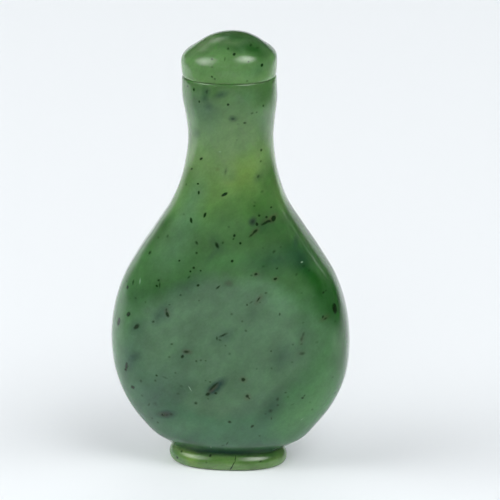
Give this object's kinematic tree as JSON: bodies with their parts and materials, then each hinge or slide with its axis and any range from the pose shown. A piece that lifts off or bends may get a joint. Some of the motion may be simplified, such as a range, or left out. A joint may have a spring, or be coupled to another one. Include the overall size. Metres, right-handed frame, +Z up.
{
  "type": "snuff bottle",
  "caption": "Flattened pear-shaped snuff bottle carved from green jade, hollow, on an oval foot ring, with a domed stopper resting in its mouth.",
  "frame": {"origin": "on the surface that the bottle stands on, under the middle of the belly", "axes": "+Z up through the neck and stopper, +X across the broad faces to the right, +Y from the front broad face to the back one"},
  "size_m": [0.0376, 0.019, 0.0699],
  "materials": {
    "bottle_jade": "polished to a soft waxy gloss",
    "stopper_jade": "polished to a soft waxy gloss"
  },
  "bodies": {
    "root": {"bottle": "bottle_jade", "stopper": "stopper_jade"}
  },
  "joints": []
}
